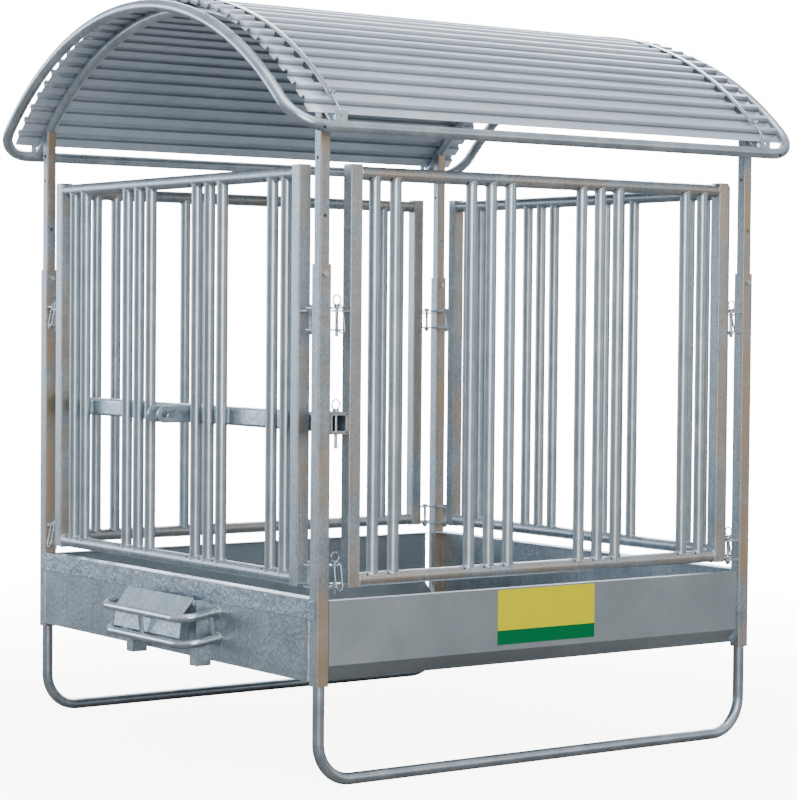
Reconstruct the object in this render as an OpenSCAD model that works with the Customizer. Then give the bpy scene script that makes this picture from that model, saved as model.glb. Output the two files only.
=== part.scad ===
// Square bale feeder: trough on two skids, four swinging feed fences, arched roof on telescopic posts.
// Frame: +Z up, ground at z = 0, plan centre at x = y = 0. The trough's wide front is on the -Y side
// and the tractor hitch on the -X side. All sizes in millimetres.

/* [Plan] */
// Length over the corner posts, along X
plan_l = 2050; // [1700:10:2500]
// Width over the corner posts, along Y
plan_w = 2050; // [1700:10:2500]

/* [Corner posts] */
// Side of the square post tube
post_s = 50; // [45:1:80]
// Wall of the post tube
post_wall = 3; // [2:0.5:4]
// Outer corner radius of the square tubes
tube_corner = 4; // [3:0.5:5]
// Height of the post's lower end above the ground
post_foot_z = 357; // [250:1:450]
// Height of the post's upper end
post_top_z = 1824; // [1750:1:2000]
// Distance of the clamp bolt below the post's top
clamp_drop = 34; // [25:1:60]
// Gap between the clamp bolt's tip and the roof post, so that the roof can slide
tip_gap = 0.3; // [0.2:0.1:1]

/* [Skids] */
// Outside diameter of the skid tube
skid_d = 42.4; // [30:0.1:43.5]
// Wall of the skid tube
skid_wall = 3; // [2:0.5:4]
// Bend radius of the skid at its tube centre
skid_bend = 135; // [90:1:200]
// Length of the skid's leg inside the post
skid_insert = 120; // [60:1:200]

/* [Trough] */
// Height of the trough's rim
rim_z = 655; // [600:1:680]
// Height of the trough's underside
floor_z = 370; // [357:1:400]
// Size of the sloping strip at the foot of the front and back walls
chamfer = 58; // [30:1:90]
// Thickness of the trough's sheet
sheet_t = 3; // [2:0.5:5]
// Width of the folded rim
rim_fold = 30; // [20:1:45]
// Open slot beside the right-hand posts
end_slot = 18; // [8:1:30]
// Height of the rim angle's outer leg
angle_h = 65; // [40:1:80]
// Width of the rim angle's top leg
angle_w = 52; // [40:1:70]
// Thickness of the rim angle
angle_t = 6; // [4:1:8]
// Length by which the outer leg laps over a post
angle_lap = 35; // [20:1:44]
// Drop of the name plate below the rim
plate_drop = 5; // [2:1:20]

/* [Feed fences] */
// Gap between a post and the fence's stile
gate_gap = 80; // [74:1:110]
// Height of the fence's lower end
gate_foot_z = 697; // [670:1:740]
// Height of the fence's upper end
gate_top_z = 2173; // [1950:1:2200]
// Side of the square stile tube
stile_s = 50; // [40:1:60]
// Outside diameter of the rails
rail_d = 48.3; // [44:0.1:50]
// Outside diameter of the upright bars
bar_d = 42.4; // [26.9:0.1:43]
// Wall of the round tubes
tube_wall = 2.6; // [2:0.1:4]
// Clear gap between a stile and the bar next to it
end_gap = 47; // [25:1:80]
// Distance between the bars of a group, centre to centre
bar_pitch = 90; // [60:1:100]
// Drop of the upper rail below the stile's top, to the rail's centre
rail_drop = 30; // [26:1:60]

/* [Fence hardware] */
// Diameter of the hinge bolts and lock pins
pin_d = 12; // [10:1:16]
// Radial clearance of a pin in its holes
pin_clear = 0.05; // [0.02:0.01:0.1]
// Inside diameter of a pin's pull ring
ring_d = 29; // [24:1:40]
// Diameter of the pull ring's wire
ring_wire = 5; // [3:0.5:6]
// Height of the collar that a pin hangs by
collar_h = 9; // [5:1:12]
// Length of a lock pin below its lower tab
lock_tail = 20; // [12:1:30]
// Length of a bar pin below its sleeve
bar_pin_tail = 50; // [20:1:70]
// Gap under a pin's collar
collar_gap = 0.3; // [0.2:0.1:1]
// Thickness of the tabs and lugs
tab_t = 6; // [5:1:8]
// Width of the tabs and lugs
tab_w = 40; // [30:1:46]
// Height of the upper hinge's top tab
hinge_top_z = 1672; // [1500:1:1730]
// Height of the lower hinge's bottom tab
hinge_low_z = 700; // [690:1:760]
// Distance between the two tabs of a post bracket
tab_pair = 76; // [60:1:100]
// Clearance between a lug and the tab next to it
lug_clear = 4; // [1:0.5:8]

/* [Top-link bar] */
// Side of the sleeve that is welded to the post
sleeve_s = 78; // [60:1:78]
// Wall of the sleeve
sleeve_wall = 5; // [4:0.5:6]
// Length of the sleeve
sleeve_len = 100; // [60:1:160]
// Wall of the bar
bar_wall = 6; // [4:0.5:8]
// Clearance between the bar and the sleeve on each side
bar_clear = 0.5; // [0.3:0.1:2]
// Outer corner radius of the bar
bar_corner = 10; // [7:0.5:12]
// Set-back of the bar's end inside its sleeve
bar_back = 5; // [0:1:15]
// Height of the bar's centre
link_bar_z = 1272; // [1100:1:1500]
// Reach of the top-link hole from the bar's outer face
link_reach = 129; // [110:1:180]
// Distance between the two top-link plates, centre to centre
link_gap = 72; // [60:1:90]
// Thickness of a top-link plate
link_t = 10; // [8:1:14]
// Height of a top-link plate
link_h = 64; // [56:1:70]
// Diameter of the top-link hole
link_hole_d = 26; // [19:0.5:32]

/* [Hitch] */
// Clear gap between the hitch's top-link plates and the fence bar beside them
link_side = 36.7; // [10:0.1:70]
// Half the width of the guard between its two ends
guard_half = 309; // [290:1:340]
// Reach of the guard from the trough's wall
guard_reach = 158; // [150:1:260]
// Outside diameter of the guard tube
guard_d = 30; // [20:0.5:34]
// Bend radius of the guard at its tube centre
guard_bend = 75; // [50:1:110]
// Height of the upper guard tube at the wall
guard_z = 558; // [520:1:560]
// Distance between the two guard tubes
guard_pitch = 97; // [70:1:120]
// Slope of the guard down from the wall, in degrees
guard_tilt = 9; // [0:1:15]
// Half the distance between the two hitch cheeks
cheek_half = 234; // [180:1:250]
// Width of a cheek
cheek_w = 48; // [40:1:60]
// Depth of a cheek from the wall
cheek_d = 64; // [50:1:75]
// Height of a cheek's lower end
cheek_foot_z = 352; // [330:1:370]
// Thickness of a cheek
cheek_t = 6; // [4:1:8]
// Outside diameter of the ties between the two guard tubes
guard_tie_d = 18; // [12:1:22]
// Distance of the outer ties from the wall
guard_tie_in = 35; // [25:1:60]
// Thickness of the deflector plate
deflector_t = 5; // [3:0.5:8]
// Height of the deflector's top edge above the cheeks
deflector_rise = 8; // [4:1:12]
// Height of the strip by which the deflector is welded to the cheeks
deflector_strip = 24; // [18:1:40]
// Reach of the deflector's slope from the cheeks
deflector_run = 50; // [30:1:60]
// Drop of the deflector's slope
deflector_drop = 60; // [40:1:80]
// Further reach of the deflector's lip
lip_run = 10; // [2:1:14]
// Drop of the deflector's lip
lip_drop = 80; // [40:1:90]

/* [Roof] */
// Distance of the eave tube outside the posts' centre line
eave_overhang = 101; // [90:1:160]
// Distance of the gable tube outside the posts' centre line
gable_overhang = 179; // [130:1:250]
// Half of the arch's angle up to the corner bends
arch_half = 44; // [40:0.5:50]
// Height of the arch's centre line over the posts
arch_post_z = 2390; // [2350:1:2500]
// Outside diameter of the roof tubes
roof_d = 42.4; // [33:0.1:48]
// Bend radius of the roof frame's corners
corner_bend = 130; // [100:1:160]
// Length of arch that belongs to the corner piece, before its joint
joint_len = 73; // [40:1:120]
// Side of the roof's post tube
roof_post_s = 40; // [30:1:43]
// Height of the roof post's lower end, inside the corner post
roof_post_foot_z = 1350; // [1200:1:1500]
// Distance between two adjusting holes of the roof post
hole_step = 100; // [80:5:120]
// Thickness of the corrugated sheet
roof_t = 1; // [0.8:0.1:1.5]
// Gap between the arches and the flat bottoms of the sheet
sheet_seat = 0.3; // [0.2:0.1:1]
// Distance of the sheet's edge inside the eave tube's centre
sheet_edge_in = 17; // [5:1:40]
// Height of a rib
rib_h = 18; // [12:1:25]
// Distance between two ribs
rib_pitch = 73; // [60:1:100]
// Width of the flat between two ribs
rib_pan = 45; // [30:1:50]
// Width of a rib's crest
rib_crest = 18; // [10:1:20]
// Overhang of the sheet beyond the inner arches
sheet_overhang = 115; // [80:1:125]
// Width of the hold-down strap
strap_w = 25; // [20:1:40]
// Thickness of the hold-down strap
strap_t = 3; // [2:0.5:5]
// Diameter of the threaded tensioning rod
rod_d = 8; // [6:1:12]
// Diameter of the rolled loop at the strap's end
loop_d = 15; // [12:1:20]
// Height of the ear's top above the eave tube's centre
ear_h = 54; // [46:1:60]
// Width of the ear
ear_w = 50; // [40:1:60]
// Thickness of the ear
ear_t = 5; // [4:1:7]
// Distance of the ear outside the eave tube's centre
ear_out = 8; // [6:1:12]
// Diameter of the ear's hole
ear_hole = 8; // [6:1:14]
// Distance of the ear's hole below its top
ear_hole_drop = 18; // [14:1:22]

/* [Name plate] */
// Width of the plain name plate
plate_w = 460; // [300:1:600]
// Height of the plain name plate
plate_h = 201; // [120:1:210]
// Thickness of the plain name plate
plate_t = 1.5; // [1:0.5:3]

/* [Hidden] */
CORNERS = ["front_left", "front_right", "back_left", "back_right"];
SIDES = ["front", "right", "back", "left"];
$fn = 48;
steel = "LightSlateGray";
bright = "LightSteelBlue";

post_x = (plan_l - post_s) / 2;
post_y = (plan_w - post_s) / 2;
post_face_x = plan_l / 2;
post_face_y = plan_w / 2;
clamp_z = post_top_z - clamp_drop;
hole_r = pin_d / 2 + pin_clear;

// Length by which a cutter runs past the face that it cuts
over = 1;

// Standard proportions of a hexagon bolt and nut and of a collar, as shares of the bolt's diameter
head_w = 1.85;
head_h = 0.65;
nut_h = 0.8;
thread_h = 1.2;

// Depth by which a pull ring's wire is let into the collar
ring_sink = 1;

// Distance from a post's centre line to the pin's axis, and from a fence's middle to its stile's outer face
pin_off = post_s / 2 + gate_gap / 2;
gate_half_x = post_x - post_s / 2 - gate_gap;
gate_half_y = post_y - post_s / 2 - gate_gap;
upper_tabs_z = hinge_top_z - tab_pair;
upper_lug_z = hinge_top_z - tab_t - lug_clear;
lower_lug_z = hinge_low_z + tab_t + lug_clear;

// The hitch's centre line along Y: its top-link plates stand beside the first bar of the left fence
hitch_y = -(bar_places(gate_half_y)[0] - bar_d / 2 - link_side - link_t / 2 - link_gap / 2);

// The sleeves stand against the left posts, and the bar runs through both
link_bar_s = sleeve_s - 2 * (sleeve_wall + bar_clear);
link_bar_x = -(post_x - post_s / 2 - sleeve_s / 2);
link_hole_x = link_bar_x - link_bar_s / 2 - link_reach;

deflector_x = -post_face_x - cheek_d;

// The roof's arch: its end, bent outwards by the corner bend, meets the eave
eave_y = post_y + eave_overhang;
arch_r = (eave_y - corner_bend * cos(arch_half)) / sin(arch_half);
arch_z = arch_post_z - sqrt(arch_r * arch_r - post_y * post_y);
eave_z = arch_z + arch_r * cos(arch_half) - corner_bend * sin(arch_half);
gable_x = post_x + gable_overhang;
joint_ang = joint_len / arch_r * 180 / PI;
pan_r = arch_r + roof_d / 2 + sheet_seat + roof_t;
crest_r = pan_r + rib_h;
sheet_half = asin((eave_y - sheet_edge_in) / pan_r);
pan_ang = rib_pan / pan_r * 180 / PI;
crest_ang = rib_crest / pan_r * 180 / PI;
ribs_each = round((2 * sheet_half * PI / 180 * pan_r - rib_pan) / rib_pitch / 3);
pitch_ang = (2 * sheet_half - pan_ang) / (3 * ribs_each);
sheet_l = 2 * (post_x + sheet_overhang);

// Gap between two sheets where one laps over the other, and the thinning of a sheet along its folds
lap_gap = 0.2;
fold_thin = 0.01;

// Angles by which an arch's end stops short of the eave tube's middle, and a post's notch runs past the arch
arch_short = 0.5;
notch_more = 4;

// How much wider the roof posts' adjusting holes are than the clamp bolts
adjust_clear = 1;

// The strap lies on the crests and ends on the last one, this many pan widths inside the sheet's edge
strap_back = 1.7;
strap_half = sheet_half - strap_back * pan_ang;
strap_r = crest_r + sheet_seat;

// ---------- shared shapes ----------

module rounded_square(s, r) {
    square([s, s - 2 * r], center = true);
    square([s - 2 * r, s], center = true);
    for (sx = [-1, 1], sy = [-1, 1]) translate([sx * (s / 2 - r), sy * (s / 2 - r)]) circle(r = r);
}

module square_tube(s, wall, h) {
    linear_extrude(h) difference() {
        rounded_square(s, tube_corner);
        rounded_square(s - 2 * wall, max(tube_corner - wall, 0.5));
    }
}

module ring(d, wall) {
    difference() {
        circle(d = d);
        circle(d = d - 2 * wall);
    }
}

module round_tube(d, wall, h) {
    linear_extrude(h) ring(d, wall);
}

// A quarter bend that starts at the origin along +Z and turns towards +X
module quarter_bend(d, wall, r) {
    translate([r, 0, 0]) rotate([90, 0, 0]) rotate([0, 0, 90])
        rotate_extrude(angle = 90) translate([r, 0]) ring(d, wall);
}

// Puts children in the YZ plane at x, with the arch's centre as their origin
module arch_plane(x) {
    translate([x, 0, arch_z]) rotate([90, 0, 90]) children();
}

module arch_tube(from, to) {
    rotate([0, 0, 90 + from]) rotate_extrude(angle = to - from, $fn = 96)
        translate([arch_r, 0]) ring(roof_d, tube_wall);
}

function at_corner(name) = [
    (name == "front_left" || name == "back_left") ? -1 : 1,
    (name == "front_left" || name == "front_right") ? -1 : 1];

// ---------- skids and posts ----------

module skid(side) {
    run = 2 * (post_x - skid_bend);
    leg_h = post_foot_z + skid_insert - skid_bend - skid_d / 2;
    color(steel) translate([0, side * post_y, skid_d / 2]) {
        translate([-run / 2, 0, 0]) rotate([0, 90, 0]) round_tube(skid_d, skid_wall, run);
        for (sx = [-1, 1]) mirror([sx > 0 ? 1 : 0, 0, 0]) translate([-post_x, 0, skid_bend]) {
            round_tube(skid_d, skid_wall, leg_h);
            mirror([0, 0, 1]) quarter_bend(skid_d, skid_wall, skid_bend);
        }
    }
}

module corner_post(name) {
    c = at_corner(name);
    color(steel) translate([c[0] * post_x, c[1] * post_y, 0]) difference() {
        translate([0, 0, post_foot_z]) square_tube(post_s, post_wall, post_top_z - post_foot_z);
        translate([0, 0, clamp_z]) rotate([90, 0, 0]) cylinder(r = hole_r, h = post_s);
    }
}

// A flat tab along +X from the origin, with a round end about the pin's axis
module tab(reach) {
    linear_extrude(tab_t, center = true) difference() {
        union() {
            translate([0, -tab_w / 2]) square([reach, tab_w]);
            translate([reach, 0]) circle(d = tab_w);
        }
        translate([reach, 0]) circle(r = hole_r);
    }
}

// Tabs of one corner, two pairs towards each of the two fences
module corner_tabs(name) {
    c = at_corner(name);
    color(bright) for (z = [hinge_top_z, upper_tabs_z, hinge_low_z + tab_pair, hinge_low_z]) {
        translate([c[0] * (post_x - post_s / 2), c[1] * post_y, z])
            rotate([0, 0, c[0] < 0 ? 0 : 180]) tab(gate_gap / 2);
        translate([c[0] * post_x, c[1] * (post_y - post_s / 2), z])
            rotate([0, 0, -90 * c[1]]) tab(gate_gap / 2);
    }
}

module hex_bolt(len) {
    cylinder(d = pin_d, h = len);
    translate([0, 0, -head_h * pin_d]) cylinder(d = head_w * pin_d, h = head_h * pin_d, $fn = 6);
}

// Bolts that hold a fence's hinge side: front at the front right, right and back at the back right,
// left at the front left
module hinge_bolts() {
    reach = tab_pair + tab_t;
    color(bright) for (p = [[post_x - pin_off, -post_y], [post_x, post_y - pin_off],
                            [post_x - pin_off, post_y], [-post_x, -post_y + pin_off]])
        for (z = [hinge_top_z, hinge_low_z + tab_pair]) translate([p[0], p[1], z + tab_t / 2]) {
            rotate([180, 0, 0]) hex_bolt(reach + thread_h * pin_d);
            translate([0, 0, -reach - nut_h * pin_d])
                cylinder(d = head_w * pin_d, h = nut_h * pin_d, $fn = 6);
        }
}

// Bolts that clamp the roof's posts; each stops just short of the sliding post
module clamp_bolts() {
    tip = (post_s - roof_post_s) / 2 - tip_gap;
    color(bright) for (sx = [-1, 1], sy = [-1, 1])
        translate([sx * post_x, sy * post_y - post_s / 2, clamp_z]) rotate([-90, 0, 0]) hex_bolt(tip);
}

// ---------- trough ----------

// Section of the front and back walls, with the outer face at y = 0 and the inside towards +Y
module wall_section() {
    k = sheet_t * tan(22.5);
    polygon([[0, rim_z], [0, floor_z + chamfer], [chamfer, floor_z], [chamfer, floor_z + sheet_t * sqrt(2)],
        [sheet_t, floor_z + chamfer + k], [sheet_t, rim_z - sheet_t], [rim_fold, rim_z - sheet_t],
        [rim_fold, rim_z]]);
}

module trough_long_wall(side) {
    len = plan_l - 2 * post_s - end_slot;
    color(steel) mirror([0, side > 0 ? 1 : 0, 0])
        translate([-post_face_x + post_s, -post_face_y, 0]) rotate([90, 0, 90])
        linear_extrude(len) wall_section();
}

// The end walls are plain plates between the posts
module trough_end_wall(side) {
    color(steel) mirror([side > 0 ? 1 : 0, 0, 0])
        translate([-post_face_x, -post_face_y + post_s, floor_z])
        cube([sheet_t, plan_w - 2 * post_s, rim_z - floor_z]);
}

module trough_floor() {
    color(steel) difference() {
        translate([-post_face_x + sheet_t, -post_face_y + chamfer, floor_z])
            cube([plan_l - 2 * sheet_t, plan_w - 2 * chamfer, sheet_t]);
        for (sx = [-1, 1], sy = [-1, 1]) translate([sx * post_x, sy * post_y, floor_z])
            cube([post_s, post_s, 4 * sheet_t], center = true);
    }
}

// Angle that stiffens an end wall: its outer leg laps over the posts' faces
module rim_angle(side) {
    len = plan_w - 2 * post_s;
    color(bright) mirror([side > 0 ? 1 : 0, 0, 0]) {
        translate([-post_face_x - angle_t, -len / 2 - angle_lap, rim_z - angle_h])
            cube([angle_t, len + 2 * angle_lap, angle_h]);
        translate([-post_face_x - angle_t, -len / 2, rim_z])
            cube([angle_w, len, angle_t]);
    }
}

module name_plate() {
    color("Gold") translate([-plate_w / 2, -post_face_y - plate_t, rim_z - plate_drop - plate_h])
        cube([plate_w, plate_t, plate_h]);
}

// ---------- hitch ----------

module guard_tube() {
    leg = guard_reach - guard_bend;
    front = 2 * (guard_half - guard_bend);
    for (sy = [-1, 1]) mirror([0, sy > 0 ? 1 : 0, 0]) translate([0, -guard_half, 0]) {
        rotate([0, -90, 0]) round_tube(guard_d, tube_wall, leg);
        translate([-leg, 0, 0]) rotate([0, -90, 0]) rotate([0, 0, 90])
            quarter_bend(guard_d, tube_wall, guard_bend);
    }
    translate([-guard_reach, front / 2, 0]) rotate([90, 0, 0]) round_tube(guard_d, tube_wall, front);
}

module hitch_guard() {
    color(bright) difference() {
        translate([-post_face_x, hitch_y, guard_z]) rotate([0, -guard_tilt, 0]) {
            for (z = [0, -guard_pitch]) translate([0, 0, z]) guard_tube();
            for (p = [[-guard_reach, 0], [-guard_tie_in, -guard_half], [-guard_tie_in, guard_half]])
                translate([p[0], p[1], -guard_pitch + guard_d / 2 - tube_wall / 2])
                cylinder(d = guard_tie_d, h = guard_pitch - guard_d + tube_wall);
        }
        translate([-post_face_x, -post_face_y, 0]) cube([guard_d, plan_w, rim_z]);
    }
}

// A channel with its web outwards and both flanges on the wall
module hitch_cheek() {
    h = rim_z - angle_h - cheek_foot_z;
    difference() {
        translate([-cheek_d, -cheek_w / 2, 0]) cube([cheek_d, cheek_w, h]);
        translate([-cheek_d + cheek_t, -cheek_w / 2 + cheek_t, -over])
            cube([cheek_d, cheek_w - 2 * cheek_t, h + 2 * over]);
    }
}

module hitch_cheeks() {
    color(steel) for (s = [-1, 1])
        translate([-post_face_x, hitch_y + s * cheek_half, cheek_foot_z]) hitch_cheek();
}

// Bent plate on the cheeks: a strip against them, folded over into a slope and a nearly upright lip
module hitch_deflector() {
    t = deflector_t;
    top = rim_z - angle_h + deflector_rise;
    half = cheek_half + cheek_t;
    color(bright) translate([deflector_x, hitch_y + half, top]) rotate([90, 0, 0])
        linear_extrude(2 * half)
        polygon([[0, t], [0, -deflector_strip], [-t, -deflector_strip],
            [-t, -t * deflector_drop / deflector_run], [-deflector_run, -deflector_drop],
            [-deflector_run - lip_run, -deflector_drop - lip_drop],
            [-deflector_run - lip_run - t, -deflector_drop - lip_drop],
            [-deflector_run - t, -deflector_drop + t / 2], [-t, t]]);
}

// ---------- top-link bar ----------

module bar_sleeves() {
    color(steel) for (s = [-1, 1])
        translate([link_bar_x, s * (post_face_y - sleeve_len / 2), link_bar_z]) rotate([90, 0, 0])
        difference() {
            translate([0, 0, -sleeve_len / 2]) square_tube(sleeve_s, sleeve_wall, sleeve_len);
            translate([0, 0, -s * (sleeve_len / 2 - post_s / 2)]) rotate([90, 0, 0])
                cylinder(r = hole_r, h = 2 * sleeve_s, center = true);
        }
}

module top_link_bar() {
    len = plan_w - 2 * bar_back;
    color(steel) translate([link_bar_x, 0, link_bar_z]) rotate([90, 0, 0]) difference() {
        translate([0, 0, -len / 2]) linear_extrude(len) difference() {
            rounded_square(link_bar_s, bar_corner);
            rounded_square(link_bar_s - 2 * bar_wall, max(bar_corner - bar_wall, 0.5));
        }
        for (s = [-1, 1]) translate([0, 0, s * post_y]) rotate([90, 0, 0])
            cylinder(r = hole_r, h = 2 * sleeve_s, center = true);
    }
}

// Two plates with round ends that carry the top-link pin outside the fence
module top_link_plates() {
    color(bright) for (s = [-1, 1])
        translate([link_bar_x - link_bar_s / 2, hitch_y + s * link_gap / 2, link_bar_z]) rotate([90, 0, 0])
        linear_extrude(link_t, center = true) difference() {
            union() {
                translate([-link_reach, -link_h / 2]) square([link_reach, link_h]);
                translate([-link_reach, 0]) circle(d = link_h);
            }
            translate([-link_reach, 0]) circle(d = link_hole_d);
        }
}

// ---------- pins ----------

// A pin that hangs by its collar at z = 0, with a pull ring above it and its tip at -len
module pull_pin(len) {
    ring_r = (ring_d + ring_wire) / 2;
    translate([0, 0, -len]) cylinder(d = pin_d, h = len);
    cylinder(d = head_w * pin_d, h = collar_h);
    translate([0, 0, collar_h + ring_r - ring_sink]) rotate([90, 0, 0]) rotate_extrude() translate([ring_r, 0])
        circle(d = ring_wire);
}

module bar_pin(side) {
    color(bright) translate([link_bar_x, side * post_y, link_bar_z + sleeve_s / 2 + collar_gap])
        pull_pin(sleeve_s + collar_gap + bar_pin_tail);
}

// Lock pins stand on the latch side: front at the front left, right at the front right, back and left
// at the back left
function lock_place(side) =
    side == "front" ? [-post_x + pin_off, -post_y] :
    side == "right" ? [post_x, -post_y + pin_off] :
    side == "back" ? [-post_x + pin_off, post_y] : [-post_x, post_y - pin_off];

module lock_pin(side, upper) {
    p = lock_place(side);
    top = upper ? hinge_top_z : hinge_low_z + tab_pair;
    color(bright) translate([p[0], p[1], top + tab_t / 2 + collar_gap])
        rotate([0, 0, side == "front" || side == "back" ? 0 : 90])
        pull_pin(collar_gap + tab_pair + tab_t + lock_tail);
}

// ---------- feed fences ----------

// Places of the upright bars along one half of a fence: a group of three beside the middle feeding place,
// and a pair beyond the outer one. All three feeding places get the same clear width.
function bar_places(half) =
    let (last = half - stile_s - end_gap - bar_d / 2,
         place = (last - 3 * bar_pitch - bar_d / 2 - bar_d) / 1.5,
         first = (place + bar_d) / 2)
    [first, first + bar_pitch, first + 2 * bar_pitch, last - bar_pitch, last];

// Fence frame with its middle at the origin, along X
module fence_frame(half) {
    lo = gate_foot_z + rail_d / 2;
    hi = gate_top_z - rail_drop;
    inner = half - stile_s;
    for (s = [-1, 1]) translate([s * (half - stile_s / 2), 0, gate_foot_z])
        square_tube(stile_s, post_wall, gate_top_z - gate_foot_z);
    for (z = [lo, hi]) translate([-inner, 0, z]) rotate([0, 90, 0]) round_tube(rail_d, tube_wall, 2 * inner);
    for (s = [0, 180], z = [upper_lug_z, lower_lug_z])
        rotate([0, 0, s]) translate([half, 0, z]) tab(gate_gap / 2);
}

module fence_bars(half) {
    lo = gate_foot_z + rail_d / 2;
    hi = gate_top_z - rail_drop;
    difference() {
        for (s = [-1, 1], p = bar_places(half)) translate([s * p, 0, lo])
            round_tube(bar_d, tube_wall, hi - lo);
        for (z = [lo, hi]) translate([-half, 0, z]) rotate([0, 90, 0]) cylinder(d = rail_d, h = 2 * half);
    }
}

// Turns a fence that lies along X into its place on one side of the feeder
module on_side(side) {
    turn = side == "front" ? 0 : side == "right" ? 90 : side == "back" ? 180 : 270;
    out = side == "front" || side == "back" ? post_y : post_x;
    rotate([0, 0, turn]) translate([0, -out, 0]) children();
}

function gate_half(side) = side == "front" || side == "back" ? gate_half_x : gate_half_y;

module fence_frame_on(side) {
    color(steel) on_side(side) fence_frame(gate_half(side));
}

module fence_bars_on(side) {
    color(bright) on_side(side) fence_bars(gate_half(side));
}

// ---------- roof ----------

// The post's top is notched to the underside of the arch
module roof_post(name) {
    c = at_corner(name);
    notch_half = arch_half + notch_more;
    color(steel) difference() {
        translate([c[0] * post_x, c[1] * post_y, roof_post_foot_z])
            square_tube(roof_post_s, post_wall, arch_post_z - roof_post_foot_z);
        arch_plane(c[0] * post_x) rotate([0, 0, 90 - notch_half])
            rotate_extrude(angle = 2 * notch_half, $fn = 96) translate([arch_r, 0]) {
                circle(d = roof_d);
                translate([0, -post_s]) square(2 * post_s);
            }
        for (n = [0, 2]) translate([c[0] * post_x, c[1] * post_y, clamp_z + n * hole_step])
            rotate([90, 0, 0]) cylinder(d = pin_d + adjust_clear, h = 2 * post_s, center = true);
        for (n = [4, 5]) translate([c[0] * post_x, c[1] * post_y, clamp_z + n * hole_step])
            rotate([0, 90, 0]) cylinder(d = pin_d + adjust_clear, h = 2 * post_s, center = true);
    }
}

// Arch under the sheet; it runs on past the posts and is notched onto the eave tubes
module roof_arch(side) {
    reach = atan2(eave_y, eave_z - arch_z) - arch_short;
    color(steel) difference() {
        arch_plane(side * post_x) arch_tube(-reach, reach);
        for (s = [-1, 1]) translate([side * post_x, s * eave_y, eave_z]) rotate([0, 90, 0])
            cylinder(d = roof_d, h = 2 * roof_d, center = true);
    }
}

module roof_gable(side) {
    half = arch_half - joint_ang;
    color(bright) arch_plane(side * gable_x) arch_tube(-half, half);
}

// Eave tube with a corner bend and a short piece of arch at each end
module roof_eave(side) {
    half = gable_x - corner_bend;
    color(bright) {
        translate([-half, side * eave_y, eave_z]) rotate([0, 90, 0]) round_tube(roof_d, tube_wall, 2 * half);
        for (sx = [-1, 1]) mirror([sx > 0 ? 1 : 0, 0, 0]) mirror([0, side > 0 ? 1 : 0, 0]) {
            arch_plane(-gable_x) arch_tube(arch_half - joint_ang, arch_half);
            translate([-gable_x, -arch_r * sin(arch_half), arch_z + arch_r * cos(arch_half)])
                rotate([90 + arch_half, 0, 0]) quarter_bend(roof_d, tube_wall, corner_bend);
        }
    }
}

function polar(r, a) = [-r * sin(a), r * cos(a)];

// Ribbed outline from angle a0 over n ribs; lift raises the first and last pans over the next sheet
function rib_line(r, a0, n, lift) = concat(
    [for (i = [0:n - 1]) each let (a = a0 + i * pitch_ang, e = (i == 0 ? lift : 0),
        flank = (pitch_ang - pan_ang - crest_ang) / 2)
        [polar(r + e, a), polar(r + e, a + pan_ang), polar(r + rib_h, a + pan_ang + flank),
         polar(r + rib_h, a + pitch_ang - flank)]],
    [polar(r + lift, a0 + n * pitch_ang), polar(r + lift, a0 + n * pitch_ang + pan_ang)]);

function reversed(v) = [for (i = [len(v) - 1:-1:0]) v[i]];

module roof_sheet(index) {
    a0 = -sheet_half + index * ribs_each * pitch_ang;
    lift = index == 1 ? roof_t + lap_gap : 0;
    color("SlateGray") arch_plane(-sheet_l / 2) linear_extrude(sheet_l)
        polygon(concat(rib_line(pan_r, a0, ribs_each, lift),
            reversed(rib_line(pan_r - roof_t + fold_thin, a0, ribs_each, lift))));
}

module roof_strap(side) {
    color(bright) arch_plane(side * post_x - strap_w / 2) rotate([0, 0, 90 - strap_half])
        rotate_extrude(angle = 2 * strap_half, $fn = 96) translate([strap_r, 0]) square([strap_t, strap_w]);
}

// A drilled ear on each end of the eave tubes, and the rod from it to the loop at the strap's end
module strap_tensioners() {
    loop = polar(strap_r + strap_t + loop_d / 2, strap_half);
    foot = [-eave_y - ear_out, eave_z - arch_z + ear_h - rod_d];
    color(bright) for (sx = [-1, 1], sy = [0, 1]) mirror([0, sy, 0]) arch_plane(sx * post_x) {
        difference() {
            translate([-eave_y - ear_out - ear_t, eave_z - arch_z, -ear_w / 2]) cube([ear_t, ear_h, ear_w]);
            translate([-eave_y, eave_z - arch_z, -ear_w]) cylinder(d = roof_d, h = 2 * ear_w);
            translate([-eave_y, eave_z - arch_z + ear_h - ear_hole_drop, 0]) rotate([0, -90, 0])
                cylinder(d = ear_hole, h = roof_d);
        }
        translate([loop[0], loop[1], -strap_w / 2]) cylinder(d = loop_d, h = strap_w);
        translate([loop[0], loop[1], 0]) rotate([0, 0, atan2(foot[1] - loop[1], foot[0] - loop[0])])
            rotate([0, 90, 0]) cylinder(d = rod_d, h = norm(foot - loop));
    }
}

// ---------- assembly ----------

skid(-1);  // skid_front
skid(1);  // skid_back
corner_post("front_left");  // post_front_left
corner_post("front_right");  // post_front_right
corner_post("back_left");  // post_back_left
corner_post("back_right");  // post_back_right
corner_tabs("front_left");  // tabs_front_left
corner_tabs("front_right");  // tabs_front_right
corner_tabs("back_left");  // tabs_back_left
corner_tabs("back_right");  // tabs_back_right
trough_long_wall(-1);  // trough_front
trough_long_wall(1);  // trough_back
trough_end_wall(-1);  // trough_left
trough_end_wall(1);  // trough_right
trough_floor();
rim_angle(-1);  // rim_angle_left
rim_angle(1);  // rim_angle_right
hitch_guard();
hitch_deflector();
hitch_cheeks();
bar_sleeves();
hinge_bolts();
clamp_bolts();
name_plate();
top_link_bar();
top_link_plates();
bar_pin(-1);  // bar_pin_front
bar_pin(1);  // bar_pin_back
fence_frame_on("front");  // fence_front_frame
fence_frame_on("right");  // fence_right_frame
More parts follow.
